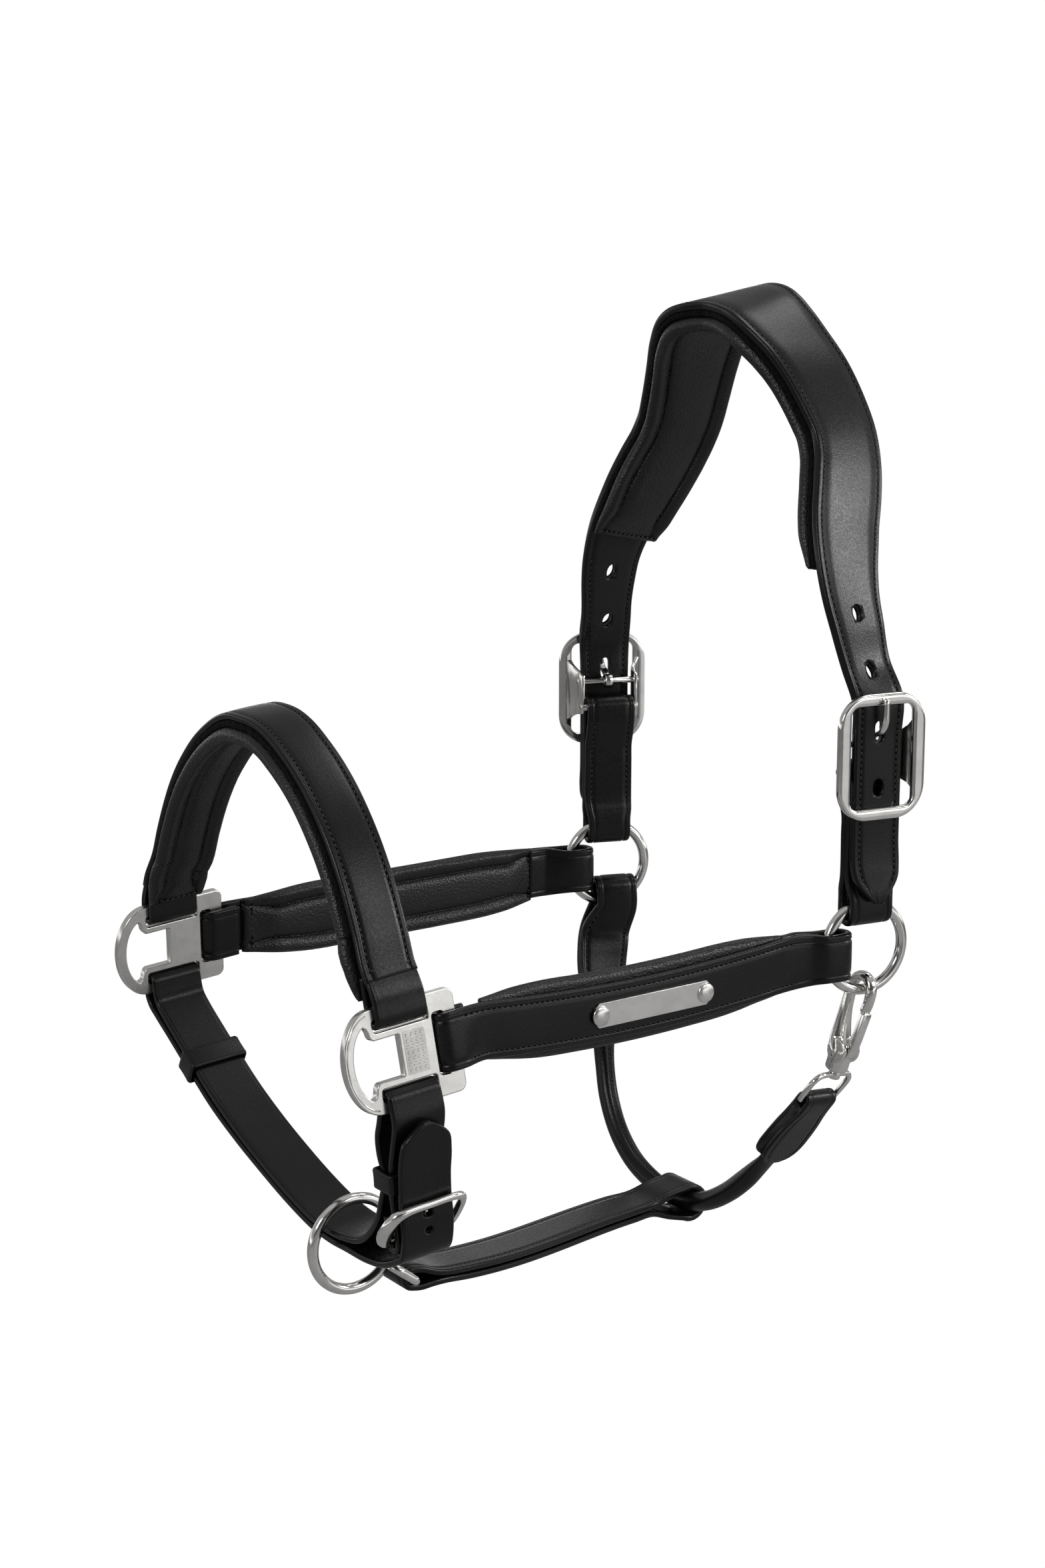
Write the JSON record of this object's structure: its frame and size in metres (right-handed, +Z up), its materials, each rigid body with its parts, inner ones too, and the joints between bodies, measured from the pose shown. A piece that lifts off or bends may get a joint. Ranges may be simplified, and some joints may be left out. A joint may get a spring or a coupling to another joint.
{
  "type": "padded headcollar",
  "caption": "Padded black leather headcollar with nickel rings, buckled cheeks and chin, shaped D plates, rolled throat strap and a swivel snap hook.",
  "frame": {"origin": "under the middle of the headpiece, where it rests on the horse's poll", "axes": "+X toward the back of the head, -Y the near (left) side, +Z up"},
  "size_m": [0.3138, 0.2346, 0.4577],
  "materials": {
    "headpiece_strap": "smooth black bridle leather, semi-gloss",
    "headpiece_felt": "black velvety felt",
    "headpiece_pad": "soft black grained leather",
    "near_cheekpiece": "smooth black bridle leather, semi-gloss",
    "near_buckle_frame": "polished nickel",
    "near_buckle_pin": "polished nickel",
    "far_cheekpiece": "smooth black bridle leather, semi-gloss",
    "far_buckle_frame": "polished nickel",
    "far_buckle_pin": "polished nickel",
    "near_buckle_tongue": "polished nickel",
    "far_buckle_tongue": "polished nickel",
    "near_cheek_ring": "polished nickel",
    "far_cheek_ring": "polished nickel",
    "noseband_strap": "smooth black bridle leather, semi-gloss",
    "noseband_felt": "black velvety felt",
    "noseband_pad": "soft black grained leather",
    "near_noseband_plate": "polished nickel",
    "far_noseband_plate": "polished nickel",
    "near_cheek_strap": "smooth black bridle leather, semi-gloss",
    "near_cheek_pad": "soft black grained leather",
    "far_cheek_strap": "smooth black bridle leather, semi-gloss",
    "far_cheek_pad": "soft black grained leather",
    "nameplate": "brushed",
    "nameplate_rivet_front": "polished nickel",
    "nameplate_rivet_rear": "polished nickel",
    "chin_strap": "smooth black bridle leather, semi-gloss",
    "far_chin_keeper": "smooth black bridle leather, semi-gloss",
    "near_chin_keeper": "smooth black bridle leather, semi-gloss",
    "chin_buckle_frame": "polished nickel",
    "chin_buckle_tongue": "polished nickel",
    "chin_ring": "polished nickel",
    "square_loop": "polished nickel",
    "jowl_strap": "smooth black bridle leather, semi-gloss",
    "throat_strap": "smooth black bridle leather, semi-gloss",
    "throat_tab": "smooth black bridle leather, semi-gloss",
    "snap_eye": "polished nickel",
    "snap_body": "polished nickel",
    "snap_gate_pin": "polished nickel",
    "snap_gate": "polished nickel"
  },
  "bodies": {
    "headpiece": {"headpiece_strap": "headpiece_strap", "headpiece_felt": "headpiece_felt", "headpiece_pad": "headpiece_pad", "near_cheekpiece": "near_cheekpiece", "near_buckle_frame": "near_buckle_frame", "near_buckle_pin": "near_buckle_pin", "far_cheekpiece": "far_cheekpiece", "far_buckle_frame": "far_buckle_frame", "far_buckle_pin": "far_buckle_pin"},
    "near_tongue": {"near_buckle_tongue": "near_buckle_tongue"},
    "far_tongue": {"far_buckle_tongue": "far_buckle_tongue"},
    "near_ring": {"near_cheek_ring": "near_cheek_ring"},
    "far_ring": {"far_cheek_ring": "far_cheek_ring"},
    "noseband": {"noseband_strap": "noseband_strap", "noseband_felt": "noseband_felt", "noseband_pad": "noseband_pad", "near_noseband_plate": "near_noseband_plate", "far_noseband_plate": "far_noseband_plate", "near_cheek_strap": "near_cheek_strap", "near_cheek_pad": "near_cheek_pad", "far_cheek_strap": "far_cheek_strap", "far_cheek_pad": "far_cheek_pad", "nameplate": "nameplate", "nameplate_rivet_front": "nameplate_rivet_front", "nameplate_rivet_rear": "nameplate_rivet_rear", "chin_strap": "chin_strap"},
    "far_keeper": {"far_chin_keeper": "far_chin_keeper"},
    "near_keeper": {"near_chin_keeper": "near_chin_keeper"},
    "chin_buckle": {"chin_buckle_frame": "chin_buckle_frame"},
    "chin_tongue": {"chin_buckle_tongue": "chin_buckle_tongue"},
    "chin_lead_ring": {"chin_ring": "chin_ring"},
    "square_link": {"square_loop": "square_loop"},
    "jowl": {"jowl_strap": "jowl_strap"},
    "throat": {"throat_strap": "throat_strap", "throat_tab": "throat_tab", "snap_eye": "snap_eye"},
    "snap_hook": {"snap_body": "snap_body", "snap_gate_pin": "snap_gate_pin"},
    "snap_lever": {"snap_gate": "snap_gate"}
  },
  "joints": [
    {"name": "near_tongue_hinge", "type": "hinge", "parent": "headpiece", "child": "near_tongue", "pos_m": [-0.00297, -0.0998, -0.183], "axis": [0.9903, -0.1392, 0], "range_deg": [0, 10]},
    {"name": "far_tongue_hinge", "type": "hinge", "parent": "headpiece", "child": "far_tongue", "pos_m": [-0.00306, 0.09981, -0.183], "axis": [-0.9511, 0.309, 0], "range_deg": [0, 10]},
    {"name": "near_ring_spin", "type": "hinge", "parent": "headpiece", "child": "near_ring", "pos_m": [-0.003, -0.1, -0.2785], "axis": [-0.1392, -0.9903, 0], "continuous": true},
    {"name": "far_ring_spin", "type": "hinge", "parent": "headpiece", "child": "far_ring", "pos_m": [-0.003, 0.1, -0.2785], "axis": [0.309, 0.9511, 0], "continuous": true},
    {"name": "noseband_swing", "type": "hinge", "parent": "headpiece", "child": "noseband", "pos_m": [-0.003, 0, -0.2785], "axis": [0, 1, 0], "range_deg": [-7, 8]},
    {"name": "far_keeper_slide", "type": "slide", "parent": "noseband", "child": "far_keeper", "axis": [-0.0489, 0.8279, 0.5588], "range_m": [-0.008, 0.008]},
    {"name": "near_keeper_slide", "type": "slide", "parent": "noseband", "child": "near_keeper", "axis": [-0.0872, 0, 0.9962], "range_m": [-0.001, 0.002]},
    {"name": "chin_buckle_hinge", "type": "hinge", "parent": "noseband", "child": "chin_buckle", "pos_m": [-0.2475, -0.1006, -0.364], "axis": [0.9962, 0, 0.0872], "range_deg": [0, 12]},
    {"name": "chin_tongue_hinge", "type": "hinge", "parent": "noseband", "child": "chin_tongue", "pos_m": [-0.2475, -0.1006, -0.364], "axis": [0.9962, 0, 0.0872], "range_deg": [0, 2]},
    {"name": "chin_ring_spin", "type": "hinge", "parent": "noseband", "child": "chin_lead_ring", "pos_m": [-0.2455, -0.046, -0.3865], "axis": [0, 1, 0], "continuous": true},
    {"name": "square_link_swing", "type": "hinge", "parent": "noseband", "child": "square_link", "pos_m": [-0.2455, -0.046, -0.3865], "axis": [0, 1, 0], "range_deg": [-13, 13]},
    {"name": "jowl_swing", "type": "hinge", "parent": "square_link", "child": "jowl", "pos_m": [-0.22233, -0.046, -0.4046], "axis": [0, 1, 0], "range_deg": [-15, 15]},
    {"name": "throat_swing", "type": "hinge", "parent": "noseband", "child": "throat", "pos_m": [-0.003, 0, -0.2785], "axis": [0, 1, 0], "range_deg": [-1, 1]},
    {"name": "snap_swivel", "type": "hinge", "parent": "throat", "child": "snap_hook", "pos_m": [-0.0105, -0.092, -0.3365], "axis": [0.1747, -0.1864, 0.9668], "range_deg": [-8, 8]},
    {"name": "snap_gate_hinge", "type": "hinge", "parent": "snap_hook", "child": "snap_lever", "pos_m": [-0.0091, -0.09801, -0.32964], "axis": [-0.9846, -0.0331, 0.1716], "range_deg": [0, 16], "stiffness_Nm_per_rad": 0.05, "springref_deg": -8.59}
  ],
  "couplings": [
    {"joint": "square_link_swing", "follows": "throat_swing", "ratio": 8.3},
    {"joint": "jowl_swing", "follows": "throat_swing", "ratio": -9.4}
  ]
}
